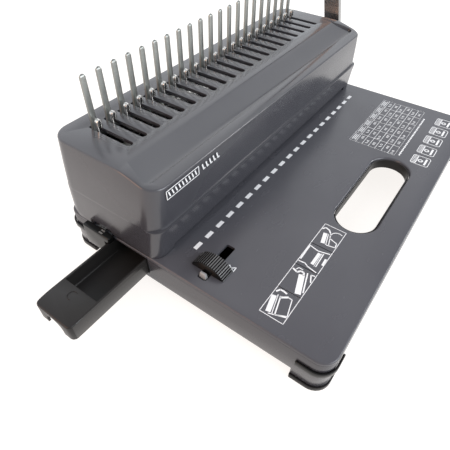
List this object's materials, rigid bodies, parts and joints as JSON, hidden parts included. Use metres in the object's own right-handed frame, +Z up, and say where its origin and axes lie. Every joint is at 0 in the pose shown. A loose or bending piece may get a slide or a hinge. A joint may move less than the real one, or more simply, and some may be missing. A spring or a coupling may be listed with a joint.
{
  "type": "comb binding machine",
  "caption": "Desk machine that punches paper edges and binds them with plastic combs: flat deck, slotted housing with tines, side lever and chip drawer.",
  "frame": {"origin": "centre of the machine's bounding box, at the underside of its rubber feet", "axes": "+X along the comb towards the lever, +Y from the operator to the back, +Z up"},
  "size_m": [0.443, 0.2478, 0.309],
  "materials": {
    "grey_shell": "glossy dark grey moulding",
    "black_plastic": "satin black moulding",
    "rubber": "black rubber",
    "steel": "bright sheet and bar steel",
    "dark_steel": "black oxide",
    "nickel": "satin nickel plate",
    "white_nylon": "natural nylon"
  },
  "bodies": {
    "base": {"base_tray": "grey_shell", "deck_cover": "grey_shell", "housing_cover": "grey_shell", "handle_liner": "black_plastic", "bottom_plate": "dark_steel", "shaft_collar": "black_plastic", "comb_plate": "nickel", "die_plate": "steel", "punch_guide": "steel", "side_frame_left": "steel", "side_frame_right": "steel", "tie_rod": "steel", "shaft_bush_left": "white_nylon", "shaft_bush_right": "white_nylon", "hook_rail_left": "white_nylon", "hook_rail_right": "white_nylon", "drawer_rail_front": "dark_steel", "drawer_rail_rear": "dark_steel", "corner_band_front_left": "black_plastic", "corner_band_front_right": "black_plastic", "corner_band_rear_left": "black_plastic", "corner_band_rear_right": "black_plastic", "foot_pad_front_left": "rubber", "foot_pad_front_right": "rubber", "foot_pad_rear_left": "rubber", "foot_pad_rear_right": "rubber", "base_screw_front_left": "steel", "base_screw_front_right": "steel", "base_screw_rear_left": "steel", "base_screw_rear_right": "steel"},
    "lever": {"lever_shaft": "steel", "lever_arm": "steel", "lever_grip": "black_plastic", "hub_cap": "black_plastic", "pinion_left": "white_nylon", "pinion_right": "white_nylon", "cam_left": "steel", "cam_right": "steel"},
    "punch": {"punch_bar": "dark_steel", "return_spring_left": "steel", "return_spring_right": "steel"},
    "opener": {"hook_plate": "nickel", "hook_rack_left": "white_nylon", "hook_rack_right": "white_nylon"},
    "drawer": {"chip_drawer": "black_plastic"},
    "margin_control": {"stop_bar": "steel", "margin_slider": "black_plastic"},
    "edge_guide": {"guide_knob": "black_plastic", "guide_shoe": "black_plastic", "guide_pointer": "white_nylon"}
  },
  "joints": [
    {"name": "lever_turn", "type": "hinge", "parent": "base", "child": "lever", "pos_m": [0.20905, 0.05419, 0.0775], "axis": [1, 0, 0], "range_deg": [0, 95], "stiffness_Nm_per_rad": 0.5},
    {"name": "punch_stroke", "type": "slide", "parent": "base", "child": "punch", "axis": [0, 0, -1], "range_m": [0, 0.0087], "deforming": ["return_spring_left", "return_spring_right"]},
    {"name": "opener_slide", "type": "slide", "parent": "base", "child": "opener", "axis": [0, -1, 0], "range_m": [0, 0.0285]},
    {"name": "drawer_slide", "type": "slide", "parent": "base", "child": "drawer", "axis": [-1, 0, 0], "range_m": [-0.0725, 0.157]},
    {"name": "margin_slide", "type": "slide", "parent": "base", "child": "margin_control", "axis": [0, 1, 0], "range_m": [-0.0015, 0.0015]},
    {"name": "edge_guide_slide", "type": "slide", "parent": "base", "child": "edge_guide", "axis": [1, 0, 0], "range_m": [-0.001, 0.014]}
  ],
  "couplings": [
    {"joint": "punch_stroke", "follows": "lever_turn", "m_per_rad": 0.0051868},
    {"joint": "opener_slide", "follows": "lever_turn", "m_per_rad": 0.017}
  ]
}
